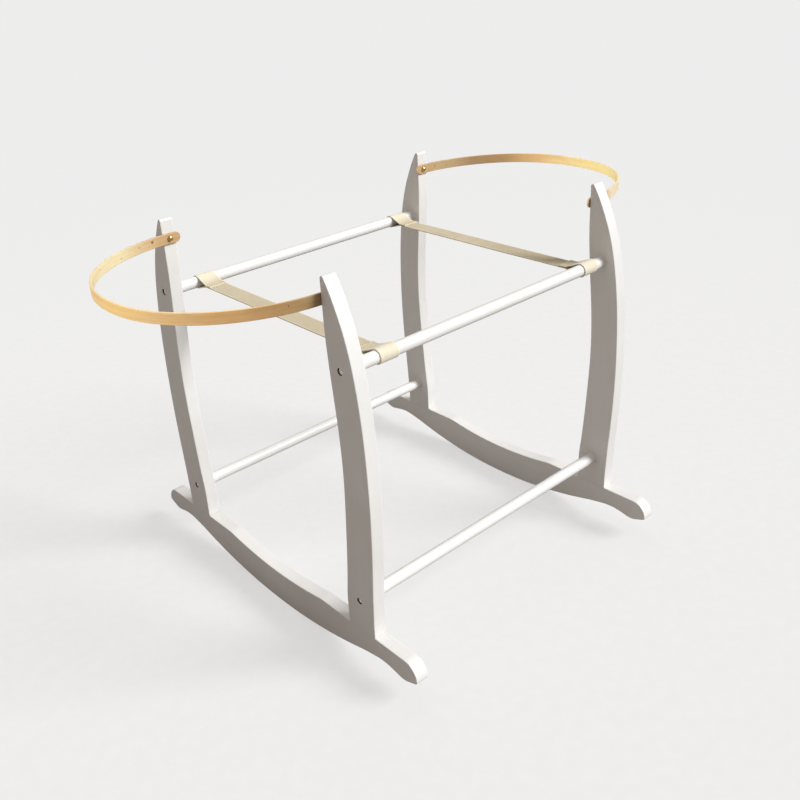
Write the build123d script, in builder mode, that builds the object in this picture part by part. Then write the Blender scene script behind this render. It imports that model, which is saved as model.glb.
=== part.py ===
from build123d import *
import math
import os

# Rocking stand for a carry-basket cradle: two end frames, each a rocker with
# two uprights and a hoop, joined by four round rails and two webbing straps.
#
# X runs along the rails, from the foot end (-X) to the head end (+X).
# Y runs across the stand, from the front (-Y) to the back (+Y).  Z is up.
# The origin is in the middle of the stand on the floor, at the lowest line
# of the two rockers.  In the functions below, end is -1 at the foot and +1
# at the head, and side is -1 at the front and +1 at the back.

os.makedirs("parts", exist_ok=True)

ENDS = {"foot": -1, "head": 1}
SIDES = {"front": -1, "back": 1}

# ---------------------------------------------------------------- dimensions
# boards of the two end frames
BOARD = 19.0                 # thickness of rockers and uprights
RAIL_LEN = 446.0             # clear length of every rail, between the boards
EDGE_R = 1.2                 # small rounding on the board edges

X_IN = RAIL_LEN / 2          # inner face of an end frame
X_OUT = X_IN + BOARD         # outer face of an end frame
X_MID = X_IN + BOARD / 2     # middle plane of an end frame

# rockers
ROCK_R = 713.5               # radius of the running edge
ROCK_ARC_Y = 190.0           # the running arc reaches this far from the middle
ROCK_TOP_Z = 58.3            # flat top edge, where the uprights stand
ROCK_DIP_Z = 48.6            # top edge at the middle of the rocker
ROCK_DIP_Y = 107.5           # the dip of the top edge starts here
ROCK_BLEND = 60.0            # rounding between the flat and the dip

# Corners of the stop foot and nose of a rocker, in order from the end of the
# running arc to the top edge: ((distance from the middle, height), rounding).
ROCKER_NOSE = [
    ((230.0, 33.4), 80.0),           # hollow between running arc and foot
    ((266.0, 25.8), 25.0),           # lowest corner of the stop foot
    ((288.2, 34.2), 4.3),            # lower corner of the nose
    ((288.2, ROCK_TOP_Z), 21.0),     # rounded top of the nose
]

# rails
RAIL_R = 8.0
RAIL_Y = 190.5               # rail axes, each side of the middle
RAIL_TOP_Z = 415.0
RAIL_LOW_Z = 103.0
RAIL_AXES = [(side * RAIL_Y, z)
             for side in SIDES.values() for z in (RAIL_LOW_Z, RAIL_TOP_Z)]

# hoops
STRIP_H = 14.0               # height of the bent strip
STRIP_T = 3.0                # thickness of the bent strip
STRIP_EDGE_R = 0.6           # easing of its long edges
STRIP_END_R = STRIP_H / 2 - 0.05     # rounding of its ends, just short of full
LONG_EDGE = 5.0              # edges of the strip above this length are eased
HOOP_Z = 493.6               # middle of the strip and axis of its end screws
HOOP_FACE_Y = 168.5          # flat inner edge of the uprights at the hoop ends
HOOP_GAP = 0.05              # running gap between strip and upright
HOOP_REACH = 172.2           # screw axis to the middle of the strip at the apex
HOOP_OVER = {"foot": 15.5, "head": 13.0}     # strip end beyond the screw
HOOP_SUPER_Y = 2.15          # exponents of the hoop's plan curve
HOOP_SUPER_X = 1.85
HOOP_START = 3.0             # where the plan curve starts, outward of the screw
HOOP_STEPS = 32              # steps along the plan curve
HOOP_HALF = HOOP_FACE_Y - HOOP_GAP - STRIP_T / 2     # middle plane to mid-strip

# hoop screws: round-head wood screws with a cross recess
SCREW_R = 2.0
SCREW_HEAD_R = 3.9
SCREW_HEAD_H = 2.7
SCREW_RIM = 0.5              # straight rim under the dome of the head
SCREW_BITE = 13.0            # length inside the upright
SCREW_POINT = 4.0            # length of the tapered point
SCREW_POINT_R = SCREW_R * 0.25
SCREW_RUN = 0.05             # radial running clearance in the strip
RECESS_LEN = 3.4
RECESS_W = 0.8
RECESS_DEPTH = 1.4
RECESS_START = 0.1           # the recess cut starts this far above the head

# connector bolts: M5 socket-head screws, sunk in their counterbores
BOLT_R = 2.5
BOLT_LEN = 30.0
BOLT_TIP_IN = 0.6            # chamfer at the bolt's tip: inward and along
BOLT_TIP_LEN = 0.8
HEAD_R = 4.25
HEAD_H = 5.0
HEAD_CHAMFER = 0.6
HEAD_SUNK = 2.0
CBORE_R = 4.6
CBORE_DEPTH = HEAD_H + HEAD_SUNK
BOLT_CLEAR_R = 2.7
SOCKET_FLATS = 4.0           # across the flats of the hexagon socket
SOCKET_DEPTH = 2.5

# threaded inserts in the rail ends
INSERT_R = 4.0
INSERT_LEN = 13.0
INSERT_SETBACK = 0.5
INSERT_HOLE_DEPTH = 14.0
BOLT_HOLE_DEPTH = 22.0

# dowel pins between rocker and upright
DOWEL_R = 4.0
DOWEL_Y = (178.8, 202.3)
DOWEL_DOWN = 15.0
DOWEL_UP = 20.0
DOWEL_CHAMFER = 0.8

# fits
PIN_FIT = 0.02               # radial clearance of pins, screws and inserts
HOLE_SPARE = 1.0             # extra depth of holes for pins and screws
NEAR = 0.01                  # tolerance for picking corners and edges by place

# webbing straps
WEB_W = 28.0                 # width of the webbing
WEB_T = 1.6                  # thickness of one layer
WEB_FIT = 0.05               # clearance between the loop and the rail
STRAP_Z = RAIL_TOP_Z - 2.0   # middle of the webbing between the rails
LOOP_LEN = 24.0              # rail axis to the point where the loop closes
LOOP_CREASE = 1.0            # the loop's opening ends this far short of there
SEAM_LEN = 12.0              # length of the sewn overlap beyond that point
WEB_LAP = 0.1                # overlap that merges the parts of the profile
STRAP_X = {"foot": -176.5, "head": 190.0}

# ---------------------------------------------------------- upright profile
# Outer edge of an upright, from just under the tip down to the base,
# as (distance from the middle plane of the stand, height).
UPRIGHT_OUTER = [
    (183.3, 503.0), (191.8, 484.5), (198.6, 468.0), (204.4, 450.0),
    (209.6, 430.0), (215.0, 400.0), (219.9, 360.0), (222.6, 320.0),
    (223.8, 280.0), (223.7, 240.0), (222.4, 200.0), (220.0, 160.0),
    (217.7, 125.0), (216.1, 95.0),
]
UPRIGHT_BASE_OUTER = 215.2
UPRIGHT_SQUARE_Z = 72.0      # the outer edge is straight below this height
# Inner edge of an upright, from the end of its straight base part up to the
# flat where the hoop is fastened, with the same columns.
UPRIGHT_INNER = [
    (167.6, 111.0), (169.6, 128.0), (172.4, 158.0), (175.4, 198.0),
    (178.0, 238.0), (179.5, 280.0), (178.7, 320.0), (176.0, 360.0),
    (172.5, 398.0), (170.0, 430.0),
]
UPRIGHT_BASE_INNER = 166.3
UPRIGHT_STRAIGHT_Z = 92.0
UPRIGHT_FLAT_Z = 468.0       # the inner edge is flat from here to the tip
TIP_R = 3.2
TIP_TOP_Z = 520.3
TIP_RUN = (0.514, -0.857)    # direction of the outer edge where it leaves the tip
TIP_MID = 0.3                # middle point of the tip arc, inward, in tip radii

# End tangents of every spline keep unit length, so that the curve stays fair
# right up to its ends.
EVEN = (1.0, 1.0)


# ------------------------------------------------------------ shared planes
def cross_plane(x, y, z, direction):
    """Plane across the rails, facing along X in the given direction."""
    return Plane(origin=(x, y, z), x_dir=(0, 1, 0), z_dir=(direction, 0, 0))


def dowel_plane(end, y, direction):
    """Plane of the joint between rocker and upright, facing up or down."""
    return Plane(origin=(end * X_MID, y, ROCK_TOP_Z),
                 x_dir=(1, 0, 0), z_dir=(0, 0, direction))


def hoop_screw_plane(end, side, distance):
    """Plane across a hoop screw's axis, facing the middle of the stand."""
    return Plane(origin=(end * X_MID, side * distance, HOOP_Z),
                 x_dir=(1, 0, 0), z_dir=(0, -side, 0))


def half_section_plane(origin, radial, axis_dir):
    """Plane for a half section: x is the radius, y runs along the axis."""
    return Plane(origin=origin, x_dir=radial, z_dir=radial.cross(axis_dir))


# --------------------------------------------------------------- end frames
def make_rocker(end):
    """One rocker board."""
    arc_end_z = ROCK_R - math.sqrt(ROCK_R ** 2 - ROCK_ARC_Y ** 2)
    nose = [corner for corner, radius in ROCKER_NOSE]
    right = [(ROCK_ARC_Y, arc_end_z), *nose, (ROCK_DIP_Y, ROCK_TOP_Z)]
    left = [(-y, z) for y, z in reversed(right)]
    with BuildPart() as rocker:
        with BuildSketch(Plane.YZ.offset(end * X_IN)) as profile:
            with BuildLine():
                ThreePointArc(left[-1], (0, 0), right[0])
                Polyline(*right)
                ThreePointArc(right[-1], (0, ROCK_DIP_Z), left[0])
                Polyline(*left)
            make_face()
            rounds = ROCKER_NOSE + [((ROCK_DIP_Y, ROCK_TOP_Z), ROCK_BLEND)]
            for corner, radius in rounds:
                spots = profile.vertices().filter_by(
                    lambda v: abs(abs(v.X) - corner[0]) < NEAR
                    and abs(v.Y - corner[1]) < NEAR)
                fillet(spots, radius=radius)
        extrude(amount=end * BOARD)
        rims = rocker.faces().filter_by(Axis.X).edges()
        fillet(rims, radius=EDGE_R)
        # blind holes for the dowel pins of both uprights
        for side in SIDES.values():
            for y in DOWEL_Y:
                with Locations(dowel_plane(end, side * y, 1)):
                    Hole(radius=DOWEL_R + PIN_FIT, depth=DOWEL_DOWN + HOLE_SPARE)
    return rocker.part


def make_upright(end, side):
    """One upright board."""
    def at(distance, z):
        return (side * distance, z)

    # the tip is a small arc between the flat inner edge and the outer edge
    tip_y = HOOP_FACE_Y + TIP_R
    tip_z = TIP_TOP_Z - TIP_R
    tip_start = at(HOOP_FACE_Y, tip_z)
    tip_middle = at(tip_y - TIP_MID * TIP_R,
                    tip_z + TIP_R * math.sqrt(1 - TIP_MID ** 2))
    tip_end = at(tip_y - TIP_R * TIP_RUN[1], tip_z + TIP_R * TIP_RUN[0])

    base_outer = at(UPRIGHT_BASE_OUTER, ROCK_TOP_Z)
    base_inner = at(UPRIGHT_BASE_INNER, ROCK_TOP_Z)
    straight_top = at(UPRIGHT_BASE_INNER, UPRIGHT_STRAIGHT_Z)
    flat_start = at(HOOP_FACE_Y, UPRIGHT_FLAT_Z)
    square_top = at(UPRIGHT_BASE_OUTER, UPRIGHT_SQUARE_Z)
    with BuildPart() as upright:
        with BuildSketch(Plane.YZ.offset(end * X_IN)):
            with BuildLine():
                Line(base_outer, base_inner)
                Line(base_inner, straight_top)
                Spline(
                    straight_top, *[at(y, z) for y, z in UPRIGHT_INNER], flat_start,
                    tangents=[(0, 1), (0, 1)], tangent_scalars=EVEN,
                )
                Line(flat_start, tip_start)
                ThreePointArc(tip_start, tip_middle, tip_end)
                Spline(
                    tip_end, *[at(y, z) for y, z in UPRIGHT_OUTER], square_top,
                    tangents=[at(*TIP_RUN), (0, -1)], tangent_scalars=EVEN,
                )
                Line(square_top, base_outer)
            make_face()
        extrude(amount=end * BOARD)
        # the edges round the base stay sharp
        rims = upright.faces().filter_by(Axis.X).edges().filter_by(
            lambda e: e.center().Z > ROCK_TOP_Z + 1)
        fillet(rims, radius=EDGE_R)
        # counterbored holes for the connector bolts
        for z in (RAIL_LOW_Z, RAIL_TOP_Z):
            with Locations(cross_plane(end * X_OUT, side * RAIL_Y, z, end)):
                CounterBoreHole(
                    radius=BOLT_CLEAR_R, counter_bore_radius=CBORE_R,
                    counter_bore_depth=CBORE_DEPTH, depth=BOARD,
                )
        # blind holes for the dowel pins, in the base
        for y in DOWEL_Y:
            with Locations(dowel_plane(end, side * y, -1)):
                Hole(radius=DOWEL_R + PIN_FIT, depth=DOWEL_UP + HOLE_SPARE)
        # pilot hole for the hoop screw, in the flat inner edge
        with Locations(hoop_screw_plane(end, side, HOOP_FACE_Y)):
            Hole(radius=SCREW_R + PIN_FIT, depth=SCREW_BITE + HOLE_SPARE)
    return upright.part


def make_dowels(end):
    """The four wooden pins between one rocker and its two uprights."""
    with BuildPart() as dowels:
        with BuildSketch(Plane.XY.offset(ROCK_TOP_Z - DOWEL_DOWN)):
            with Locations(*[(end * X_MID, side * y)
                             for side in SIDES.values() for y in DOWEL_Y]):
                Circle(DOWEL_R)
        extrude(amount=DOWEL_DOWN + DOWEL_UP)
        chamfer(dowels.edges().filter_by(GeomType.CIRCLE), length=DOWEL_CHAMFER)
    return dowels.part


# ---------------------------------------------------- rails and their joints
def make_rail(side, height):
    """One round rail, bored at both ends for its threaded inserts."""
    with BuildPart() as rail:
        with BuildSketch(cross_plane(-X_IN, side * RAIL_Y, height, 1)):
            Circle(RAIL_R)
        extrude(amount=RAIL_LEN)
        for end in ENDS.values():
            with Locations(cross_plane(end * X_IN, side * RAIL_Y, height, end)):
                Hole(radius=INSERT_R + PIN_FIT, depth=INSERT_HOLE_DEPTH)
                Hole(radius=BOLT_CLEAR_R, depth=BOLT_HOLE_DEPTH)
    return rail.part


def make_rail_inserts(end):
    """The four threaded inserts in the rail ends at one end frame."""
    with BuildPart() as inserts:
        for y, z in RAIL_AXES:
            with BuildSketch(cross_plane(end * (X_IN - INSERT_SETBACK), y, z, end)):
                Circle(INSERT_R)
                Circle(BOLT_R + PIN_FIT, mode=Mode.SUBTRACT)
            extrude(amount=-INSERT_LEN)
    return inserts.part


def make_connector_bolts(end):
    """The four socket-head bolts through the uprights of one end frame."""
    seat = X_OUT - CBORE_DEPTH
    axis_dir = Vector(end, 0, 0)
    radial = Vector(0, 1, 0)
    with BuildPart() as bolts:
        for y, z in RAIL_AXES:
            origin = (end * seat, y, z)
            with BuildSketch(half_section_plane(origin, radial, axis_dir)):
                Polygon(
                    (0, HEAD_H),
                    (0, -BOLT_LEN),
                    (BOLT_R - BOLT_TIP_IN, -BOLT_LEN),
                    (BOLT_R, -BOLT_LEN + BOLT_TIP_LEN),
                    (BOLT_R, 0),
                    (HEAD_R, 0),
                    (HEAD_R, HEAD_H - HEAD_CHAMFER),
                    (HEAD_R - HEAD_CHAMFER, HEAD_H),
                    align=None,
                )
            revolve(axis=Axis(origin, axis_dir))
            # hexagon socket
            with BuildSketch(cross_plane(end * (seat + HEAD_H), y, z, end)):
                RegularPolygon(radius=SOCKET_FLATS / math.sqrt(3), side_count=6)
            extrude(amount=-SOCKET_DEPTH, mode=Mode.SUBTRACT)
    return bolts.part


# -------------------------------------------------------------------- hoops
def hoop_point(angle):
    """Point of the hoop's plan curve, at the middle of the strip.

    It is (distance outward from the screw axis, distance from the middle
    plane), on a superellipse.
    """
    cosine = math.cos(angle)
    out = (HOOP_REACH - HOOP_START) * math.sin(angle) ** (2 / HOOP_SUPER_X)
    across = HOOP_HALF * abs(cosine) ** (2 / HOOP_SUPER_Y)
    return HOOP_START + out, math.copysign(across, cosine)


def hoop_curve(end, offset):
    """(x, y) points of the plan curve moved outward by offset.

    They run from the +Y side, round the apex, to the -Y side.
    """
    nudge = 1e-4             # half the angle step that gives the tangent
    points = []
    for i in range(1, HOOP_STEPS):
        angle = math.pi * i / HOOP_STEPS
        out, y = hoop_point(angle)
        out_before, y_before = hoop_point(angle - nudge)
        out_after, y_after = hoop_point(angle + nudge)
        run_out, run_y = out_after - out_before, y_after - y_before
        scale = offset / math.hypot(run_out, run_y)
        points.append((end * (X_MID + out - run_y * scale), y + run_out * scale))
    return points


def make_hoop(end, over):
    """One bent-wood hoop: a flat strip on edge, round in plan."""
    outer = hoop_curve(end, STRIP_T / 2)
    inner = hoop_curve(end, -STRIP_T / 2)
    tip_x = end * (X_MID - over)
    bend_x = end * (X_MID + HOOP_START)
    outer_y = HOOP_HALF + STRIP_T / 2
    inner_y = HOOP_HALF - STRIP_T / 2
    out_and_back = [(end, 0), (-end, 0)]
    with BuildPart() as hoop:
        with BuildSketch(Plane.XY.offset(HOOP_Z)):
            with BuildLine():
                Line((tip_x, outer_y), (bend_x, outer_y))
                Spline((bend_x, outer_y), *outer, (bend_x, -outer_y),
                       tangents=out_and_back, tangent_scalars=EVEN)
                Line((bend_x, -outer_y), (tip_x, -outer_y))
                Line((tip_x, -outer_y), (tip_x, -inner_y))
                Line((tip_x, -inner_y), (bend_x, -inner_y))
                Spline((bend_x, -inner_y), *reversed(inner), (bend_x, inner_y),
                       tangents=out_and_back, tangent_scalars=EVEN)
                Line((bend_x, inner_y), (tip_x, inner_y))
                Line((tip_x, inner_y), (tip_x, outer_y))
            make_face()
        extrude(amount=STRIP_H / 2, both=True)
        # the ends of the strip are cut round
        tips = hoop.edges().filter_by(Axis.Y).filter_by(
            lambda e: abs(abs(e.center().X) - abs(tip_x)) < NEAR)
        fillet(tips, radius=STRIP_END_R)
        # the long edges are eased
        rims = hoop.faces().filter_by(
            lambda f: abs(f.normal_at().Z) > 0.99).edges().filter_by(
            lambda e: e.length > LONG_EDGE)
        fillet(rims, radius=STRIP_EDGE_R)
        # clearance holes that turn on the end screws
        for side in SIDES.values():
            with Locations(hoop_screw_plane(end, side, inner_y)):
                Hole(radius=SCREW_R + SCREW_RUN, depth=STRIP_T + HOLE_SPARE)
    return hoop.part


def make_hoop_screws(end):
    """The two round-head wood screws that hold one hoop."""
    seat = HOOP_FACE_Y - 2 * HOOP_GAP - STRIP_T
    tail = -(STRIP_T + 2 * HOOP_GAP + SCREW_BITE)
    radial = Vector(1, 0, 0)
    with BuildPart() as screws:
        for side in SIDES.values():
            origin = (end * X_MID, side * seat, HOOP_Z)
            axis_dir = Vector(0, -side, 0)          # from shank to head
            with BuildSketch(half_section_plane(origin, radial, axis_dir)):
                with BuildLine():
                    Polyline(
                        (0, SCREW_HEAD_H),
                        (0, tail),
                        (SCREW_POINT_R, tail),
                        (SCREW_R, tail + SCREW_POINT),
                        (SCREW_R, 0),
                        (SCREW_HEAD_R, 0),
                        (SCREW_HEAD_R, SCREW_RIM),
                    )
                    # dome of the head
                    ThreePointArc(
                        (SCREW_HEAD_R, SCREW_RIM),
                        (SCREW_HEAD_R * 0.72, SCREW_HEAD_H * 0.8),
                        (0, SCREW_HEAD_H),
                    )
                make_face()
            revolve(axis=Axis(origin, axis_dir))
            # cross recess
            cut_start = seat - SCREW_HEAD_H - RECESS_START
            with BuildSketch(hoop_screw_plane(end, side, cut_start)):
                Rectangle(RECESS_LEN, RECESS_W)
                Rectangle(RECESS_W, RECESS_LEN)
            extrude(amount=-(RECESS_DEPTH + RECESS_START), mode=Mode.SUBTRACT)
    return screws.part


# ------------------------------------------------------------------- straps
def tangent_point(point, centre, radius, upper):
    """Where the upper or lower tangent from point touches a circle."""
    dy, dz = point[0] - centre[0], point[1] - centre[1]
    base = math.atan2(dz, dy)
    spread = math.acos(radius / math.hypot(dy, dz))
    options = [
        (centre[0] + radius * math.cos(angle), centre[1] + radius * math.sin(angle))
        for angle in (base - spread, base + spread)
    ]
    return (max if upper else min)(options, key=lambda p: p[1])


def make_strap(x_middle):
    """One webbing strap, looped round both top rails and sewn back.

    The span hangs between the rails, a little below their axes.  At each
    rail it passes under the rail, round it and over the top, and the tail is
    sewn down on the span.
    """
    inner_r = RAIL_R + WEB_FIT
    outer_r = inner_r + WEB_T
    low_z = STRAP_Z - WEB_T / 2      # underside of the span
    top_z = STRAP_Z + WEB_T / 2      # top of the span
    close_y = RAIL_Y - LOOP_LEN      # where the loop closes
    with BuildPart() as strap:
        with BuildSketch(Plane.YZ.offset(x_middle)):
            for side in SIDES.values():
                centre = (side * RAIL_Y, RAIL_TOP_Z)
                low = (side * close_y, low_z)
                high = (side * close_y, top_z + WEB_T)
                with Locations(centre):
                    Circle(outer_r)
                Polygon(
                    high, tangent_point(high, centre, outer_r, True), centre,
                    tangent_point(low, centre, outer_r, False), low,
                    align=None,
                )
                # the tail, sewn down on the span
                with Locations((side * (close_y - SEAM_LEN / 2 + WEB_LAP),
                                top_z + WEB_T / 2 - WEB_LAP / 2)):
                    Rectangle(SEAM_LEN + 2 * WEB_LAP, WEB_T + WEB_LAP)
            with Locations((0, STRAP_Z)):
                Rectangle(2 * (close_y + WEB_LAP), WEB_T)
            # the opening of each loop, which holds the rail
            for side in SIDES.values():
                centre = (side * RAIL_Y, RAIL_TOP_Z)
                meet = (side * (close_y + LOOP_CREASE), top_z)
                with Locations(centre):
                    Circle(inner_r, mode=Mode.SUBTRACT)
                Polygon(
                    meet, tangent_point(meet, centre, inner_r, True), centre,
                    tangent_point(meet, centre, inner_r, False),
                    align=None, mode=Mode.SUBTRACT,
                )
        extrude(amount=WEB_W / 2, both=True)
    return strap.part


# ------------------------------------------------------------------- pieces
pieces = {}
for end_name, end in ENDS.items():
    pieces[f"{end_name}_rocker"] = make_rocker(end)
    for side_name, side in SIDES.items():
        pieces[f"{end_name}_{side_name}_upright"] = make_upright(end, side)
    pieces[f"{end_name}_hoop"] = make_hoop(end, HOOP_OVER[end_name])
    pieces[f"{end_name}_hoop_screws"] = make_hoop_screws(end)
    pieces[f"{end_name}_connector_bolts"] = make_connector_bolts(end)
    pieces[f"{end_name}_rail_inserts"] = make_rail_inserts(end)
    pieces[f"{end_name}_dowel_pins"] = make_dowels(end)
    pieces[f"{end_name}_strap"] = make_strap(STRAP_X[end_name])
for side_name, side in SIDES.items():
    pieces[f"{side_name}_top_rail"] = make_rail(side, RAIL_TOP_Z)
    pieces[f"{side_name}_lower_rail"] = make_rail(side, RAIL_LOW_Z)

for name, part in pieces.items():
    part.label = name
    export_step(part, f"parts/{name}.step")
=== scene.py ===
"""Rocking stand for a carry-basket cradle: painted frame, bent-wood hoops and
woven cotton straps.

Metres.  +X is the head end, -Y the front, +Z up; the stand is centred on X = Y = 0.
"""
import math
import random

import bmesh
import bpy
from mathutils import Matrix, Vector


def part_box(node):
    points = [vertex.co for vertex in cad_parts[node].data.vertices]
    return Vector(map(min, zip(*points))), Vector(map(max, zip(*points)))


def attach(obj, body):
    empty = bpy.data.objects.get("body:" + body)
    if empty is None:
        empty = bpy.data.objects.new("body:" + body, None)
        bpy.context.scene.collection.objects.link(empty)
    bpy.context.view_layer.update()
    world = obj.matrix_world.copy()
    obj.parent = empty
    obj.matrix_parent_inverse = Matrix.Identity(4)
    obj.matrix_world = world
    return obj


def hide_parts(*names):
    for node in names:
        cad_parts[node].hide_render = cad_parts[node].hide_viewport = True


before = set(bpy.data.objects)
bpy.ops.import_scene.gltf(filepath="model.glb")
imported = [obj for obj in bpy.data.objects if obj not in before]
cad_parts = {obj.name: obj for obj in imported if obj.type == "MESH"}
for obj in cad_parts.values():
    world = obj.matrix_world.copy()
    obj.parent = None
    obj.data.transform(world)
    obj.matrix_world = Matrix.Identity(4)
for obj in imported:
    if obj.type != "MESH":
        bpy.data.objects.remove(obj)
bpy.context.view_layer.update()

# ----------------------------------------------------------------- dimensions
END_MID_X = 0.2325           # middle plane of an end frame
END_OUTER_X = 0.242          # outer face of an end frame
RAIL_Y = 0.1905
RAIL_TOP_Z = 0.415
RAIL_LOW_Z = 0.103
COUNTERBORE_R = 0.0046
SEAM_Z = 0.0583              # joint between rocker and upright
SEAM_HALF_WIDTH = 0.025      # the joint's reach to either side of RAIL_Y
HOOP_CENTRE_X = END_MID_X + 0.003
HOOP_R = 0.1692              # reach of the hoop, used as the radius of its arc

WEB_W = 0.028
WEB_T = 0.00145
PLY_GAP = 0.00016            # between the span and the tail sewn on top of it
SPAN_Z = 0.4130              # middle of the webbing along the open span
TAIL_Z = SPAN_Z + WEB_T + PLY_GAP
CLOSE_Y = 0.1665             # where each loop closes
TAIL_Y = 0.1545              # where the sewn tail ends
WRAP_R = 0.00888             # middle of the webbing round the rail

MID_NOISE = (0.3, 0.7)       # the range that most noise values fall in


# ----------------------------------------------------------------- node tools
class NodeMaterial:
    """Builds one Principled material.  Values may be numbers, tuples or sockets."""

    def __init__(self, name):
        self.material = bpy.data.materials.new(name)
        self.material.use_nodes = True
        self.nodes = self.material.node_tree.nodes
        self.nodes.clear()
        self.output = self.nodes.new("ShaderNodeOutputMaterial")
        self.bsdf = self.nodes.new("ShaderNodeBsdfPrincipled")
        self.link(self.bsdf.outputs[0], self.output.inputs[0])
        texture = self.nodes.new("ShaderNodeTexCoord")
        self.coords = texture.outputs["Object"]
        self.uv = texture.outputs["UV"]

    def link(self, source, target):
        self.material.node_tree.links.new(source, target)

    def put(self, socket, value):
        if isinstance(value, bpy.types.NodeSocket):
            self.link(value, socket)
        else:
            socket.default_value = value

    def set(self, name, value):
        self.put(self.bsdf.inputs[name], value)

    def math(self, operation, a, b=0.0, clamp=False):
        node = self.nodes.new("ShaderNodeMath")
        node.operation = operation
        node.use_clamp = clamp
        for socket, value in zip(node.inputs, (a, b, 0.0)):
            self.put(socket, value)
        return node.outputs[0]

    def times(self, first, *others):
        for other in others:
            first = self.math("MULTIPLY", first, other)
        return first

    def centred(self, noise, amount):
        """Noise moved to swing about zero, then scaled."""
        return self.times(self.math("SUBTRACT", noise, 0.5), amount)

    def vector_math(self, operation, a, b=(0, 0, 0)):
        node = self.nodes.new("ShaderNodeVectorMath")
        node.operation = operation
        self.put(node.inputs[0], a)
        self.put(node.inputs[1], b)
        gives_number = operation in ("DOT_PRODUCT", "DISTANCE", "LENGTH")
        return node.outputs["Value" if gives_number else 0]

    def separate(self, vector):
        node = self.nodes.new("ShaderNodeSeparateXYZ")
        self.link(vector, node.inputs[0])
        return node.outputs

    def combine(self, x, y, z):
        node = self.nodes.new("ShaderNodeCombineXYZ")
        for socket, value in zip(node.inputs, (x, y, z)):
            self.put(socket, value)
        return node.outputs[0]

    def scaled(self, vector, scale):
        node = self.nodes.new("ShaderNodeMapping")
        self.link(vector, node.inputs[0])
        node.inputs["Scale"].default_value = scale
        return node.outputs[0]

    def noise(self, vector, scale=1.0, detail=4.0, roughness=0.5, distortion=0.0):
        node = self.nodes.new("ShaderNodeTexNoise")
        self.link(vector, node.inputs["Vector"])
        node.inputs["Scale"].default_value = scale
        node.inputs["Detail"].default_value = detail
        node.inputs["Roughness"].default_value = roughness
        node.inputs["Distortion"].default_value = distortion
        return node.outputs[0]

    def remap(self, value, over=MID_NOISE, to=(0.0, 1.0)):
        node = self.nodes.new("ShaderNodeMapRange")
        node.clamp = True
        for socket, number in zip(list(node.inputs)[:5], (value, *over, *to)):
            self.put(socket, number)
        return node.outputs[0]

    def mix(self, factor, base, top, blend="MIX"):
        node = self.nodes.new("ShaderNodeMix")
        node.data_type = "RGBA"
        node.blend_type = blend
        self.put(node.inputs[0], factor)
        # 6 and 7 are the colour inputs A and B
        for socket, colour in ((node.inputs[6], base), (node.inputs[7], top)):
            self.put(socket, (*colour, 1.0) if isinstance(colour, tuple) else colour)
        return node.outputs[2]

    def tint(self, base, mask, to, amount):
        """Moves base towards a colour where the mask is on."""
        return self.mix(self.times(mask, amount), base, to)

    def relief(self, *layers):
        """Stacks bumps into the normal; each layer is (height, strength, distance)."""
        normal = None
        for height, strength, distance in layers:
            node = self.nodes.new("ShaderNodeBump")
            node.inputs["Strength"].default_value = strength
            node.inputs["Distance"].default_value = distance
            self.link(height, node.inputs["Height"])
            if normal is not None:
                self.link(normal, node.inputs["Normal"])
            normal = node.outputs[0]
        self.set("Normal", normal)

    def ramp(self, factor, stops):
        """Colours along a factor; stops are (position, colour)."""
        node = self.nodes.new("ShaderNodeValToRGB")
        self.link(factor, node.inputs[0])
        elements = node.color_ramp.elements
        for element, (position, colour) in zip(elements, (stops[0], stops[-1])):
            element.position = position
            element.color = (*colour, 1.0)
        for position, colour in stops[1:-1]:
            elements.new(position).color = (*colour, 1.0)
        return node.outputs[0]

    def edge(self, radius):
        """1 on sharp edges, 0 on flat faces."""
        bevel = self.nodes.new("ShaderNodeBevel")
        bevel.samples = 6
        bevel.inputs["Radius"].default_value = radius
        geometry = self.nodes.new("ShaderNodeNewGeometry")
        agreement = self.vector_math("DOT_PRODUCT", bevel.outputs[0],
                                     geometry.outputs["Normal"])
        return self.remap(agreement, over=(0.97, 0.80))

    def crevice(self, distance):
        """1 deep in a corner, 0 in the open."""
        node = self.nodes.new("ShaderNodeAmbientOcclusion")
        node.samples = 8
        node.inputs["Distance"].default_value = distance
        return self.math("SUBTRACT", 1.0, node.outputs["AO"], clamp=True)


# ---------------------------------------------------------------- white paint
def tint_seam(tree, colour, y, z):
    """Glue line between the rocker and the uprights."""
    from_seam = tree.math("ABSOLUTE", tree.math("SUBTRACT", z, SEAM_Z))
    line = tree.remap(from_seam, over=(0.00012, 0.00042), to=(1.0, 0.0))
    abs_y = tree.math("ABSOLUTE", y)
    line = tree.times(line,
                      tree.math("GREATER_THAN", abs_y, RAIL_Y - SEAM_HALF_WIDTH),
                      tree.math("LESS_THAN", abs_y, RAIL_Y + SEAM_HALF_WIDTH))
    return tree.tint(colour, line, to=(0.42, 0.38, 0.33), amount=0.55)


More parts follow.
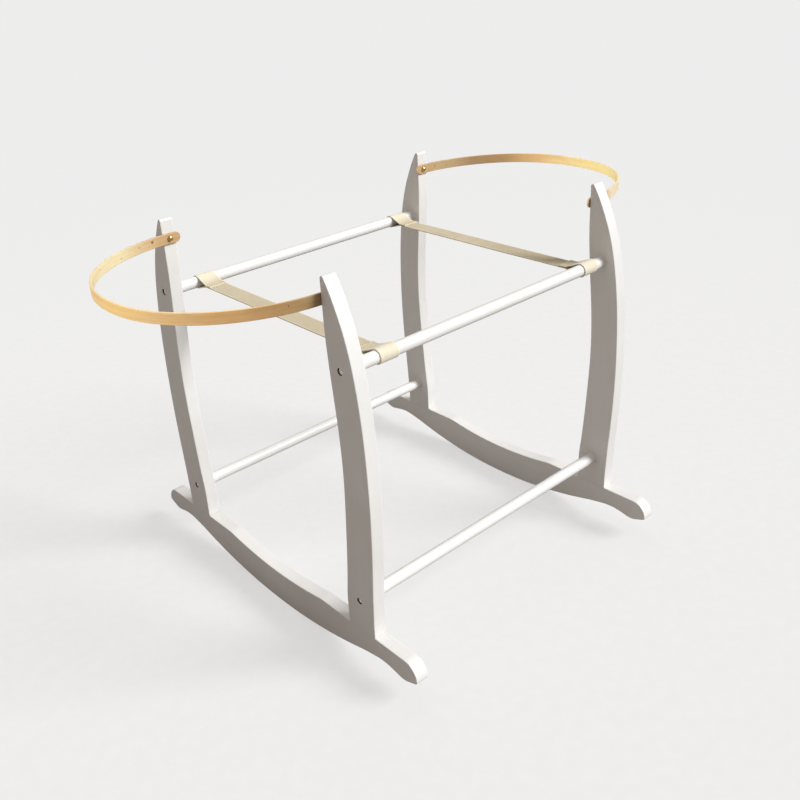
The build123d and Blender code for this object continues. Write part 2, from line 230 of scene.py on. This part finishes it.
def tint_counterbores(tree, colour, x, y, z):
    """Bare wood inside the counterbores of the bolts, painted near black as the shade in the
    holes.
    """
    wall_margin = 0.00015        # so that the walls of the hole are included
    start_depth = 0.00035        # below the outer face
    from_rail_y = tree.math("SUBTRACT", tree.math("ABSOLUTE", y), RAIL_Y)
    y_squared = tree.times(from_rail_y, from_rail_y)
    distances = []
    for rail_z in (RAIL_TOP_Z, RAIL_LOW_Z):
        from_rail_z = tree.math("SUBTRACT", z, rail_z)
        z_squared = tree.times(from_rail_z, from_rail_z)
        distances.append(tree.math("SQRT", tree.math("ADD", y_squared, z_squared)))
    nearest = tree.math("MINIMUM", *distances)
    depth = tree.math("SUBTRACT", END_OUTER_X, tree.math("ABSOLUTE", x))
    hole = tree.times(tree.math("LESS_THAN", nearest, COUNTERBORE_R + wall_margin),
                      tree.math("GREATER_THAN", depth, start_depth))
    # near-black painted shade on the walls of the counterbores
    return tree.mix(hole, colour, (0.055, 0.035, 0.020))


def tint_rail_sides(tree, colour):
    """The round rails pick up a little shade at their grazing sides."""
    weight = tree.nodes.new("ShaderNodeLayerWeight")
    weight.inputs["Blend"].default_value = 0.5
    rim = tree.remap(weight.outputs["Facing"], over=(0.70, 0.97), to=(0.0, 0.50))
    return tree.mix(rim, colour, (0.46, 0.455, 0.445))


def white_paint(grain):
    """Satin paint sprayed over a sanded board; grain is the board's long axis."""
    tree = NodeMaterial("white_paint_grain_" + grain)

    def stretched(along, across):
        scale = [along if axis == grain else across for axis in "xyz"]
        return tree.scaled(tree.coords, scale)

    fibre = tree.noise(stretched(along=5, across=160), detail=6, roughness=0.62, distortion=0.4)
    pore = tree.remap(tree.noise(stretched(along=22, across=900), detail=2), over=(0.62, 0.74))
    peel = tree.noise(tree.coords, scale=420, detail=3)
    cloud = tree.noise(tree.coords, scale=11, detail=3, roughness=0.6)
    fine = tree.noise(tree.coords, scale=95, roughness=0.6)
    edge = tree.edge(radius=0.0013)
    corner_grime_and_shade = tree.crevice(distance=0.012)

    colour = tree.mix(tree.remap(cloud), base=(0.832, 0.826, 0.810), top=(0.880, 0.876, 0.864))
    # fibres and pores of the board under the paint
    colour = tree.tint(colour, tree.remap(fibre, over=(0.35, 0.7)),
                       to=(0.780, 0.755, 0.715), amount=0.16)
    colour = tree.tint(colour, pore, to=(0.62, 0.58, 0.52), amount=0.10)
    # paint thins on the corners and shows a little of the primer
    colour = tree.tint(colour, edge, to=(0.74, 0.66, 0.55),
                       amount=tree.remap(fine, over=(0.50, 0.72), to=(0.05, 0.42)))
    # grime and painted shade in the corners
    colour = tree.tint(colour, corner_grime_and_shade, to=(0.50, 0.455, 0.40),
                       amount=tree.remap(fine, to=(0.18, 0.45)))
    if grain == "x":
        colour = tint_rail_sides(tree, colour)
    else:
        x, y, z = tree.separate(tree.coords)
        colour = tint_seam(tree, colour, y, z)
        if grain == "z":
            colour = tint_counterbores(tree, colour, x, y, z)

    tree.set("Base Color", colour)
    rougher_edge = tree.times(edge, 0.12)
    tree.set("Roughness", tree.math("ADD", tree.remap(fine, to=(0.36, 0.50)), rougher_edge))
    tree.set("Specular IOR Level", 0.42)
    tree.set("Coat Weight", 0.12)
    tree.set("Coat Roughness", 0.28)
    tree.relief((fibre, 0.20, 0.00022), (pore, 0.18, 0.00010), (peel, 0.16, 0.00012))
    return tree.material


# ------------------------------------------------------------------ bent wood
# natural specks in the strip: (x, y, z, radius, strength)
SPECKS = [
    (-0.2599, 0.1633, 0.4956, 0.0023, 0.75), (-0.2816, 0.1582, 0.4946, 0.0010, 0.9),
    (-0.3140, 0.1451, 0.4916, 0.0011, 0.85), (-0.3574, 0.1136, 0.4956, 0.0011, 0.85),
    (-0.2795, -0.1619, 0.4956, 0.0010, 0.9), (0.2564, 0.1638, 0.4946, 0.0013, 0.85),
    (0.2786, 0.1591, 0.4926, 0.0010, 0.8),
]

# painted shade along a strip: (degrees from its apex, front negative;
# colour that multiplies the wood)
FOOT_OUTER_PAINTED_SHADE = [
    (-85, (0.86, 0.92, 0.95)), (-70, (0.80, 0.72, 0.62)), (-60, (0.84, 0.75, 0.70)),
    (-50, (0.92, 0.83, 0.72)), (-40, (1.00, 0.95, 0.92)), (-30, (1.00, 1.00, 1.00)),
    (-10, (0.99, 1.00, 0.84)), (0, (0.97, 0.99, 0.85)), (12, (0.97, 1.00, 1.00)),
    (85, (0.95, 0.95, 0.95)),
]
HEAD_INNER_PAINTED_SHADE = [
    (-85, (0.95, 0.95, 0.88)), (-45, (1.00, 1.00, 0.80)), (-30, (1.00, 1.00, 0.76)),
    (0, (0.98, 0.88, 0.64)), (10, (1.00, 0.87, 0.64)), (20, (0.96, 0.74, 0.52)),
    (30, (0.90, 0.68, 0.50)), (42, (0.70, 0.52, 0.40)), (58, (0.66, 0.49, 0.42)),
    (70, (0.88, 0.80, 0.76)), (82, (0.97, 1.00, 1.00)),
]

# the wood's colours: (between the dark bands, in the bands)
INNER_MIDDLE = (0.830, 0.725, 0.455), (0.760, 0.625, 0.350)
# the ends' colours carry the painted shadow of the uprights
INNER_SHADOWED_ENDS = (0.680, 0.460, 0.250), (0.590, 0.365, 0.175)
OUTER_MIDDLE = (0.900, 0.640, 0.320), (0.830, 0.530, 0.225)
OUTER_SHADOWED_ENDS = (0.470, 0.300, 0.145), (0.370, 0.215, 0.095)
HEAD_FRONT_PAINTED_LIGHT = (0.930, 0.840, 0.640), (0.880, 0.750, 0.500)


def hoop_colour(tree, x, y, from_centre, band, blotch):
    """Pale inner face and tan outer face, both darker towards the strip's ends with a painted
    shadow of the uprights.
    """
    geometry = tree.nodes.new("ShaderNodeNewGeometry")
    outward = tree.vector_math("NORMALIZE", tree.combine(
        tree.times(from_centre, tree.math("SIGN", x)), y, 0.0))
    facing = tree.vector_math("DOT_PRODUCT", geometry.outputs["Normal"], outward)
    outer = tree.remap(facing, over=(-0.25, 0.35))

    # angles in radians from the apex, made uneven by the blotches
    turn = tree.math("ABSOLUTE", tree.math("ARCTAN2", y, from_centre))
    # painted shadow of the uprights towards the strip's ends
    ends = tree.remap(tree.math("ADD", turn, tree.times(blotch, 0.25)), over=(1.15, 1.62))
    signed_turn = tree.math("ARCTAN2", y, from_centre)
    wandering = tree.math("ADD", signed_turn, tree.centred(blotch, 0.22))
    along = tree.remap(wandering, over=(math.radians(-90), math.radians(90)))
    foot_painted_shade, head_painted_shade = [
        tree.ramp(along, [((degrees + 90) / 180, tone) for degrees, tone in stops])
        for stops in (FOOT_OUTER_PAINTED_SHADE, HEAD_INNER_PAINTED_SHADE)]
    at_head = tree.math("GREATER_THAN", x, 0.0)

    inner_colour = tree.mix(ends, tree.mix(band, *INNER_MIDDLE), tree.mix(band, *INNER_SHADOWED_ENDS))
    outer_colour = tree.mix(ends, tree.mix(band, *OUTER_MIDDLE), tree.mix(band, *OUTER_SHADOWED_ENDS))
    # painted shade along the head hoop's inner face
    inner_colour = tree.mix(at_head, inner_colour,
                            tree.mix(1.0, inner_colour, head_painted_shade, blend="MULTIPLY"))
    # painted light: the head hoop stays pale on the outside of its front end
    front_painted_light = tree.times(tree.remap(along, over=(0.03, 0.09)),
                          tree.remap(along, over=(0.24, 0.36), to=(1.0, 0.0)))
    # painted shade along the foot hoop's outer face
    outer_colour = tree.mix(
        at_head,
        tree.mix(1.0, outer_colour, foot_painted_shade, blend="MULTIPLY"),
        tree.tint(outer_colour, front_painted_light, to=tree.mix(band, *HEAD_FRONT_PAINTED_LIGHT), amount=0.85))
    return tree.mix(outer, inner_colour, outer_colour)


def bent_wood():
    """A thin steam-bent strip with long fibres."""
    tree = NodeMaterial("bent_wood_strip")
    x, y, z = tree.separate(tree.coords)
    from_centre = tree.math("SUBTRACT", tree.math("ABSOLUTE", x), HOOP_CENTRE_X)
    arc = tree.times(tree.math("ARCTAN2", y, from_centre), HOOP_R)
    radial = tree.math("SQRT", tree.math("ADD", tree.times(from_centre, from_centre),
                                         tree.times(y, y)))

    def strip_coords(per_arc, per_radial, per_z):
        return tree.combine(tree.times(arc, per_arc), tree.times(radial, per_radial),
                            tree.times(z, per_z))

    # fibres run along the strip: they change quickly with height, slowly round the arc
    bands = tree.noise(strip_coords(per_arc=9.0, per_radial=14.0, per_z=420.0),
                       detail=5, roughness=0.6, distortion=0.5)
    fibres = tree.noise(strip_coords(per_arc=45.0, per_radial=30.0, per_z=1500.0),
                        detail=5, roughness=0.65, distortion=0.2)
    blotch = tree.noise(tree.combine(tree.times(arc, 16.0), radial, tree.times(z, 40.0)),
                        detail=3, roughness=0.55)
    band = tree.remap(bands, over=(0.35, 0.68))

    colour = hoop_colour(tree, x, y, from_centre, band, blotch)
    colour = tree.tint(colour, tree.remap(fibres, over=(0.50, 0.78)),
                       to=(0.430, 0.240, 0.095), amount=0.30)
    colour = tree.tint(colour, tree.remap(blotch, over=(0.5, 0.75)),
                       to=(0.470, 0.240, 0.090), amount=0.22)
    colour = tree.tint(colour, tree.edge(radius=0.0008), to=(0.860, 0.700, 0.450), amount=0.35)
    for *place, radius, strength in SPECKS:
        distance = tree.vector_math("DISTANCE", tree.coords, place)
        speck = tree.remap(distance, over=(radius * 0.55, radius * 1.1), to=(strength, 0.0))
        colour = tree.mix(speck, colour, (0.090, 0.042, 0.020))
    # painted shade in the corners and creases where the strip meets other parts
    colour = tree.tint(colour, tree.crevice(distance=0.006), to=(0.180, 0.085, 0.035),
                       amount=0.5)
    tree.set("Base Color", colour)
    tree.set("Roughness", tree.remap(fibres, to=(0.34, 0.50)))
    tree.set("Coat Weight", 0.14)
    tree.set("Coat Roughness", 0.34)
    tree.relief((fibres, 0.35, 0.00014), (bands, 0.18, 0.00018))
    return tree.material


# ------------------------------------------------------------ other materials
def metal(name, light, dark, roughness, tarnish, recess, reach):
    """Small turned hardware.  Tarnish is the dark colour's share in clouds, recess
    its share in corners, and reach how far the corners' shade extends."""
    tree = NodeMaterial(name)
    cloud = tree.noise(tree.coords, scale=700, roughness=0.6)
    fine = tree.noise(tree.coords, scale=3200, detail=3, roughness=0.6)
    deep = tree.crevice(distance=reach)
    spots = tree.math("ADD", tree.times(tree.remap(cloud, over=(0.42, 0.68)), tarnish),
                      tree.times(deep, recess), clamp=True)
    tree.set("Base Color", tree.mix(spots, light, dark))
    tree.set("Metallic", 1.0)
    clouded = tree.remap(cloud, to=(roughness - 0.06, roughness + 0.10))
    rougher_corner = tree.times(deep, 0.2)
    tree.set("Roughness", tree.math("ADD", clouded, rougher_corner))
    tree.relief((fine, 0.25, 0.00003))
    return tree.material


def beech():
    """Dowel pins with their grain along Z."""
    tree = NodeMaterial("beech_pin")
    rings = tree.noise(tree.scaled(tree.coords, (320, 320, 18)),
                       detail=5, roughness=0.6, distortion=0.4)
    flecks = tree.remap(tree.noise(tree.scaled(tree.coords, (1400, 1400, 160)), detail=2),
                        over=(0.6, 0.72))
    colour = tree.mix(rings, base=(0.640, 0.440, 0.270), top=(0.500, 0.310, 0.165))
    colour = tree.tint(colour, flecks, to=(0.330, 0.180, 0.085), amount=0.5)
    tree.set("Base Color", colour)
    tree.set("Roughness", tree.remap(rings, to=(0.55, 0.70)))
    tree.relief((rings, 0.3, 0.0002))
    return tree.material


def weave_height(tree, along, across):
    """Height of a plain weave at a place on the strap."""
    warp_pitch, weft_pitch = 0.00135, 0.00190
    over_under, warp_ridge, weft_ridge = 0.7, 0.22, 0.12     # shares of the height
    wobble = tree.centred(tree.noise(tree.uv, scale=180, detail=2), 0.0005)
    warp_angle = tree.times(tree.math("ADD", across, wobble), 2 * math.pi / warp_pitch)
    weft_angle = tree.times(tree.math("ADD", along, wobble), 2 * math.pi / weft_pitch)
    warp = tree.math("SINE", warp_angle)
    weft = tree.math("SINE", weft_angle)
    plain = tree.times(tree.math("SINE", tree.times(warp_angle, 0.5)),
                       tree.math("SINE", tree.times(weft_angle, 0.5)))
    ridges = tree.math("ADD", tree.times(warp, warp_ridge), tree.times(weft, weft_ridge))
    return tree.math("ADD", tree.times(tree.math("ABSOLUTE", plain), over_under), ridges)


def webbing():
    """Plain-woven cotton; U is the distance from the nearer end, V runs across."""
    tree = NodeMaterial("cotton_webbing")
    y = tree.separate(tree.coords)[1]
    along, across, _ = tree.separate(tree.uv)
    height = weave_height(tree, along, across)
    fuzz = tree.noise(tree.coords, scale=2600, detail=3, roughness=0.7)
    slub = tree.noise(tree.scaled(tree.uv, (60, 900, 1)), detail=3, roughness=0.6)
    cloud = tree.noise(tree.coords, scale=38, detail=3, roughness=0.6)
    selvedge = tree.remap(tree.math("ABSOLUTE", across),
                          over=(WEB_W / 2 - 0.0024, WEB_W / 2 - 0.0016))
    hem = tree.remap(along, over=(0.0008, 0.0015), to=(1.0, 0.0))
    loop = tree.remap(tree.math("ABSOLUTE", y), over=(0.166, 0.180))
    gap = tree.remap(height, over=(-0.15, 0.55), to=(1.0, 0.0))

    colour = tree.mix(tree.remap(cloud), base=(0.600, 0.515, 0.355), top=(0.665, 0.585, 0.415))
    colour = tree.tint(colour, tree.remap(slub, over=(0.45, 0.75)),
                       to=(0.850, 0.790, 0.600), amount=0.25)
    # painted shade in the hollows of the weave
    colour = tree.tint(colour, gap, to=(0.420, 0.330, 0.165), amount=0.42)
    # paler selvedges, with a painted highlight along the strap's edges
    colour = tree.tint(colour, selvedge, to=(0.870, 0.815, 0.630), amount=0.45)
    # painted highlight on the loops round the rails, where the webbing is also paler from being
    # stretched, and a painted highlight along the folded tail end
    colour = tree.tint(colour, loop, to=(0.910, 0.865, 0.710), amount=0.70)
    colour = tree.tint(colour, hem, to=(0.900, 0.850, 0.680), amount=0.60)
    # painted shade under the tail's step and in the strap's creases
    colour = tree.tint(colour, tree.crevice(distance=0.0035), to=(0.400, 0.300, 0.150),
                       amount=0.22)
    tree.set("Base Color", colour)
    tree.set("Roughness", tree.remap(fuzz, to=(0.80, 0.95)))
    tree.set("Sheen Weight", 0.25)
    tree.set("Sheen Roughness", 0.5)
    tree.set("Specular IOR Level", 0.25)
    tree.relief((height, 0.75, 0.00030), (fuzz, 0.35, 0.00008))
    return tree.material


def thread():
    tree = NodeMaterial("cotton_thread")
    twist = tree.noise(tree.scaled(tree.coords, (2600, 1400, 2600)), detail=3, roughness=0.6)
    tree.set("Base Color", tree.mix(twist, base=(0.860, 0.800, 0.620),
                                    top=(0.700, 0.600, 0.380)))
    tree.set("Roughness", tree.remap(twist, to=(0.60, 0.80)))
    tree.relief((twist, 0.5, 0.00006))
    return tree.material


paint = {axis: white_paint(axis) for axis in "xyz"}
wood = bent_wood()
brass = metal("tarnished_brass", light=(0.800, 0.560, 0.240), dark=(0.210, 0.120, 0.045),
              roughness=0.28, tarnish=0.45, recess=0.75, reach=0.0018)
zinc = metal("zinc_plate", light=(0.930, 0.915, 0.880), dark=(0.420, 0.395, 0.350),
             roughness=0.42, tarnish=0.22, recess=0.12, reach=0.0006)
pin_wood = beech()
cotton = webbing()
yarn = thread()


# ---------------------------------------------------------------- frame parts
def dress(name, material):
    """Puts the material in every slot of a frame part."""
    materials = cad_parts[name].data.materials
    if len(materials):
        for i in range(len(materials)):
            materials[i] = material
    else:
        materials.append(material)


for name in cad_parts:
    if "rocker" in name:
        dress(name, paint["y"])
    elif "upright" in name:
        dress(name, paint["z"])
    elif name.endswith("_rail"):
        dress(name, paint["x"])
    elif name.endswith("_hoop"):
        dress(name, wood)
    elif name.endswith("_hoop_screws"):
        dress(name, brass)
    elif "bolts" in name or "inserts" in name:
        dress(name, zinc)
    elif "dowel" in name:
        dress(name, pin_wood)


# ----------------------------------------------------------------- mesh tools
def tube_faces(ring_count, around, base=0):
    """Quads between successive rings of vertices, then the two end faces."""
    faces = []
    for i in range(ring_count - 1):
        here, there = base + i * around, base + (i + 1) * around
        for j in range(around):
            k = (j + 1) % around
            faces.append((here + j, here + k, there + k, there + j))
    faces.append(tuple(base + j for j in reversed(range(around))))
    faces.append(tuple(base + (ring_count - 1) * around + j for j in range(around)))
    return faces


def add_object(name, mesh, material):
    """Turns the mesh's normals outward and adds it to the scene."""
    bm = bmesh.new()
    bm.from_mesh(mesh)
    bmesh.ops.recalc_face_normals(bm, faces=bm.faces)
    bm.to_mesh(mesh)
    bm.free()
    obj = bpy.data.objects.new(name, mesh)
    bpy.context.scene.collection.objects.link(obj)
    mesh.materials.append(material)
    return obj


# --------------------------------------------------------------------- straps
RAIL_CENTRE = (RAIL_Y, RAIL_TOP_Z)
WRAP_STEPS = 34


def tangent_angle(point, upper):
    """Angle on the wrap circle where a line from the point (y, z) touches it."""
    dy, dz = point[0] - RAIL_CENTRE[0], point[1] - RAIL_CENTRE[1]
    direction = math.atan2(dz, dy)
    spread = math.acos(WRAP_R / math.hypot(dy, dz))
    return (max if upper else min)((direction - spread, direction + spread), key=math.sin)


def side_path():
    """Half of the strap's middle line at +Y, from the tail's end round the rail
    to the start of the span, as (y, z)."""
    tail_close = (CLOSE_Y, TAIL_Z)
    span_close = (CLOSE_Y, SPAN_Z)
    start = tangent_angle(tail_close, upper=True)
    # a turn less, so that the arc goes round the far side of the rail
    end = tangent_angle(span_close, upper=False) - 2 * math.pi
    arc = []
    for i in range(WRAP_STEPS + 1):
        angle = start + (end - start) * i / WRAP_STEPS
        arc.append((RAIL_CENTRE[0] + WRAP_R * math.cos(angle),
                    RAIL_CENTRE[1] + WRAP_R * math.sin(angle)))
    return [(TAIL_Y, TAIL_Z), tail_close] + arc + [span_close]


def resample(points, step):
    """Divides each segment evenly, in steps close to the given one."""
    result = [points[0]]
    for a, b in zip(points, points[1:]):
        count = max(1, round(math.dist(a, b) / step))
        result += [(a[0] + (b[0] - a[0]) * i / count, a[1] + (b[1] - a[1]) * i / count)
                   for i in range(1, count + 1)]
    return result


def relax(points, rounds):
    """Rounds the corners of a path a little; its ends stay where they are."""
    for _ in range(rounds):
        inner = [((a[0] + 2 * b[0] + c[0]) / 4, (a[1] + 2 * b[1] + c[1]) / 4)
                 for a, b, c in zip(points, points[1:], points[2:])]
        points = [points[0]] + inner + [points[-1]]
    return points


def strap_path():
    """The strap's whole middle line, from the tail at +Y to the tail at -Y."""
    right = relax(resample(side_path(), step=0.0011), rounds=3)
    left = [(-y, z) for y, z in reversed(right)]
    span = resample([right[-1], left[0]], step=0.004)
    return right + span[1:-1] + left


def smooth_noise(seed, count, low, high):
    """A sum of sines, within -1..1, with frequencies in radians per metre."""
    rng = random.Random(seed)
    waves = [(rng.uniform(low, high), rng.uniform(0, 2 * math.pi), rng.uniform(0.4, 1.0))
             for _ in range(count)]
    total = sum(weight for _, _, weight in waves)
    return lambda distance: sum(weight * math.sin(frequency * distance + phase)
                                for frequency, phase, weight in waves) / total


def section():
    """Cross-section of the webbing: (across, out) with rounded, slightly
    thicker selvedges."""
    half_width, half_thickness = WEB_W / 2, WEB_T / 2
    cap = 0.0007                 # width of the rounded edge
    bead_width = 0.0022
    thinning = 0.07              # of the face against the selvedge
    steps = 22
    top = []
    for i in range(steps + 1):
        across = -half_width + cap + (WEB_W - 2 * cap) * i / steps
        bead = max(0.0, 1 - (half_width - abs(across)) / bead_width)
        top.append((across, half_thickness * (1 - thinning + thinning * bead)))
    edge = [(half_width - cap + cap * math.cos(math.radians(degrees)),
             half_thickness * math.sin(math.radians(degrees)))
            for degrees in (60, 30, 0, -30, -60)]
    bottom = [(across, -out) for across, out in reversed(top)]
    return top + edge + bottom + [(-across, -out) for across, out in edge]


def make_strap(name, x_mid, seed):
    wave_height, cup_height, sideways = 0.00010, 0.00022, 0.00022
    settle, fade = 0.006, 0.02   # flat to this far past the tail, then freed over this
    wave = smooth_noise(seed, count=5, low=20, high=90)
    cup = smooth_noise(seed + 7, count=4, low=10, high=50)
    drift = smooth_noise(seed + 13, count=4, low=12, high=45)
    path = strap_path()
    ring = section()
    verts, distances = [], []
    length = 0.0
    for i, (y, z) in enumerate(path):
        if i:
            length += math.dist(path[i - 1], path[i])
        before, after = path[max(i - 1, 0)], path[min(i + 1, len(path) - 1)]
        step = math.dist(before, after)
        normal_y, normal_z = (before[1] - after[1]) / step, (after[0] - before[0]) / step
        # the open span is never perfectly flat: it waves, cups and drifts slightly
        freedom = min(1.0, max(0.0, (TAIL_Y - settle - abs(y)) / fade))
        for across, out in ring:
            # 0.33 keeps the cupping about level over the width
            bend = (across / (WEB_W / 2)) ** 2 - 0.33
            lift = freedom * (wave_height * wave(length) + cup_height * cup(length) * bend)
            verts.append((x_mid + across + sideways * drift(length) * freedom,
                          y + normal_y * (out + lift), z + normal_z * (out + lift)))
        distances.append(length)

    around = len(ring)
    mesh = bpy.data.meshes.new(name)
    mesh.from_pydata(verts, [], tube_faces(len(path), around))
    layer = mesh.uv_layers.new(name="weave")
    for loop in mesh.loops:
        i, j = divmod(loop.vertex_index, around)
        layer.data[loop.index].uv = (min(distances[i], length - distances[i]), ring[j][0])
    # the last two faces are the cut ends, which shade flat
    mesh.polygons.foreach_set("use_smooth", [True] * (len(mesh.polygons) - 2) + [False] * 2)
    mesh.validate()
    return add_object(name, mesh, cotton)


# ------------------------------------------------------------------ stitching
STITCH_PITCH = 0.0027
STITCH_SPAN = (0.12, 0.88)       # share of the pitch where a stitch starts and ends
STITCH_JITTER = 0.00008
STITCH_R = 0.00026
STITCH_FLATNESS = 0.75           # height of the thread against its width
FACE_OUT = WEB_T / 2 * 0.94      # from the webbing's middle to the thread
SEAM_HALF_X = WEB_W / 2 - 0.0028
SEAM_START_Y = TAIL_Y + 0.0016
SEAM_END_Y = CLOSE_Y - 0.0012


def add_stitch(verts, faces, start, end, up):
    """A short thread between two points that dips at both ends."""
    start, end, up = Vector(start), Vector(end), Vector(up)
    side = (end - start).normalized().cross(up).normalized()
    rings, around = 7, 8
    faces += tube_faces(rings, around, base=len(verts))
    for i in range(rings):
        share = i / (rings - 1)
        bulge = math.sin(math.pi * (0.10 + 0.80 * share))
        centre = start.lerp(end, share) + up * (STITCH_R * 0.9 * (bulge - 0.65))
        radius = STITCH_R * (0.45 + 0.55 * bulge)
        for j in range(around):
            angle = 2 * math.pi * j / around
            verts.append(centre + side * (radius * math.cos(angle))
                         + up * (radius * STITCH_FLATNESS * math.sin(angle)))


def make_stitching(name, x_mid, seed):
    """A sewn rectangle with a cross in it on each tail, seen above and below."""
    rng = random.Random(seed)
    verts, faces = [], []
    corners = [(-SEAM_HALF_X, SEAM_START_Y), (SEAM_HALF_X, SEAM_START_Y),
               (SEAM_HALF_X, SEAM_END_Y), (-SEAM_HALF_X, SEAM_END_Y)]
    lines = list(zip(corners, corners[1:] + corners[:1]))
    lines += [(corners[0], corners[2]), (corners[1], corners[3])]
    for side in (-1, 1):
        for z, up in ((TAIL_Z + FACE_OUT, 1), (SPAN_Z - FACE_OUT, -1)):
            for (xa, ya), (xb, yb) in lines:
                count = max(2, round(math.hypot(xb - xa, yb - ya) / STITCH_PITCH))
                for i in range(count):
                    jitter_x = rng.uniform(-STITCH_JITTER, STITCH_JITTER)
                    jitter_y = rng.uniform(-STITCH_JITTER, STITCH_JITTER)
                    start, end = [(x_mid + xa + (xb - xa) * share + jitter_x,
                                   side * (ya + (yb - ya) * share + jitter_y), z)
                                  for share in ((i + part) / count for part in STITCH_SPAN)]
                    add_stitch(verts, faces, start, end, up=(0, 0, up))
    mesh = bpy.data.meshes.new(name)
    mesh.from_pydata([tuple(vert) for vert in verts], [], faces)
    mesh.polygons.foreach_set("use_smooth", [True] * len(mesh.polygons))
    return add_object(name, mesh, yarn)


for body, seed in (("foot_strap", 11), ("head_strap", 29)):
    low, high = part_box(body)
    x_mid = (low.x + high.x) / 2
    strap = make_strap(body + "_webbing", x_mid, seed)
    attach(strap, body)
    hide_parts(body)
    sewing = make_stitching(body + "_stitching", x_mid, seed + 1)
    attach(sewing, body)


# ---------------------------------------------------------------------- stage
PALE = (0.850, 0.850, 0.846, 1.0)    # what the camera sees of the background
FLOOR_SIZE = 40
FLOOR_GLOW = 0.590                   # brightness added for the camera only


def floor_material():
    """Takes a soft shadow under the stand and fades into the background."""
    tree = NodeMaterial("pale_floor")
    seen = tree.nodes.new("ShaderNodeLightPath").outputs["Is Camera Ray"]
    far = tree.remap(tree.vector_math("LENGTH", tree.coords), over=(0.9, 2.6))
    speck = tree.remap(tree.noise(tree.coords, scale=60, detail=3), to=(0.985, 1.015))
    tree.set("Base Color", tree.mix(seen, base=(0.30, 0.28, 0.26), top=(0.26, 0.26, 0.26)))
    tree.set("Roughness", tree.remap(tree.noise(tree.coords, scale=14, detail=3),
                                     to=(0.86, 0.94)))
    tree.set("Specular IOR Level", 0.0)
    tree.set("Emission Color", (1.0, 1.0, 0.995, 1.0))
    tree.set("Emission Strength", tree.times(seen, tree.times(speck, FLOOR_GLOW)))
    flat = tree.nodes.new("ShaderNodeEmission")
    flat.inputs[0].default_value = PALE
    fade = tree.nodes.new("ShaderNodeMixShader")
    tree.link(tree.times(far, seen), fade.inputs[0])
    tree.link(tree.bsdf.outputs[0], fade.inputs[1])
    tree.link(flat.outputs[0], fade.inputs[2])
    tree.link(fade.outputs[0], tree.output.inputs[0])
    return tree.material


def make_world():
    """A warm fill for the stand; the camera sees the pale background instead."""
    world = bpy.data.worlds.new("studio")
    world.use_nodes = True
    nodes, links = world.node_tree.nodes, world.node_tree.links
    nodes.clear()

    def background(colour, strength):
        node = nodes.new("ShaderNodeBackground")
        node.inputs[0].default_value = colour
        node.inputs[1].default_value = strength
        return node.outputs[0]

    output = nodes.new("ShaderNodeOutputWorld")
    switch = nodes.new("ShaderNodeMixShader")
    light_path = nodes.new("ShaderNodeLightPath")
    seen = background(PALE, strength=1.0)
    fill = background((1.0, 0.90, 0.83, 1), strength=0.36)
    links.new(light_path.outputs["Is Camera Ray"], switch.inputs[0])
    links.new(fill, switch.inputs[1])
    links.new(seen, switch.inputs[2])
    links.new(switch.outputs[0], output.inputs[0])
    return world


bpy.ops.mesh.primitive_plane_add(size=FLOOR_SIZE, location=(0, 0, 0))
floor = bpy.context.object
floor.name = "floor"
floor.data.materials.append(floor_material())

scene = bpy.context.scene
scene.world = make_world()


# --------------------------------------------------------------------- lights
LIGHT_DISTANCE = 3.0


def add_light(name, kind, direction, energy, colour, target=(0, 0, 0)):
    """A light that stands off in a direction from its target and faces it."""
    data = bpy.data.lights.new(name, kind)
    data.energy = energy
    data.color = colour
    light = bpy.data.objects.new(name, data)
    scene.collection.objects.link(light)
    direction = Vector(direction).normalized()
    light.location = Vector(target) + direction * LIGHT_DISTANCE
    light.rotation_mode = "QUATERNION"
    light.rotation_quaternion = (-direction).to_track_quat("-Z", "Y")
    return light


key = add_light("key", "SUN", direction=(0.60, -0.72, 0.65), energy=3.5,
                colour=(0.975, 0.996, 1.0))
key.data.angle = math.radians(26)

soft_top = add_light("soft_top", "AREA", direction=(0.2, 0.5, 1.0), energy=9,
                     colour=(0.985, 0.995, 1.0), target=(0, 0, 0.25))
soft_top.data.shape = "DISK"
soft_top.data.size = 2.4

# a side light kept off the paint: it reaches the bent-wood hoops and the bolts
side_lit = bpy.data.collections.new("lit_from_the_side")
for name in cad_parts:
    if name.endswith("_hoop") or "bolts" in name:
        side_lit.objects.link(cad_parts[name])
hoop_side = add_light("hoop_side", "SUN", direction=(-0.90, 0.38, 0.30), energy=2.8,
                      colour=(1.0, 0.985, 0.95))
hoop_side.data.angle = math.radians(30)
hoop_side.light_linking.receiver_collection = side_lit


# --------------------------------------------------------------------- camera
CAMERA_PLACE = Vector((-0.7800, -0.8984, 0.8361))
CAMERA_RIGHT = Vector((0.74849, -0.66042, -0.06006))
CAMERA_UP = Vector((0.32481, 0.28615, 0.90145))


def make_camera():
    data = bpy.data.cameras.new("camera")
    camera = bpy.data.objects.new("camera", data)
    scene.collection.objects.link(camera)
    data.sensor_width = 36.0         # millimetres, as is the lens
    data.lens = 40.975875
    data.shift_x = 0.029425          # shares of the picture's width
    data.shift_y = -0.037475
    data.clip_start = 0.05
    data.clip_end = 100
    # square the axes up to each other
    right = CAMERA_RIGHT.normalized()
    up = (CAMERA_UP - right * CAMERA_UP.dot(right)).normalized()
    pose = Matrix((right, up, right.cross(up))).transposed().to_4x4()
    pose.translation = CAMERA_PLACE
    camera.matrix_world = pose
    return camera


scene.camera = make_camera()
scene.view_settings.view_transform = "Standard"
scene.view_settings.look = "None"
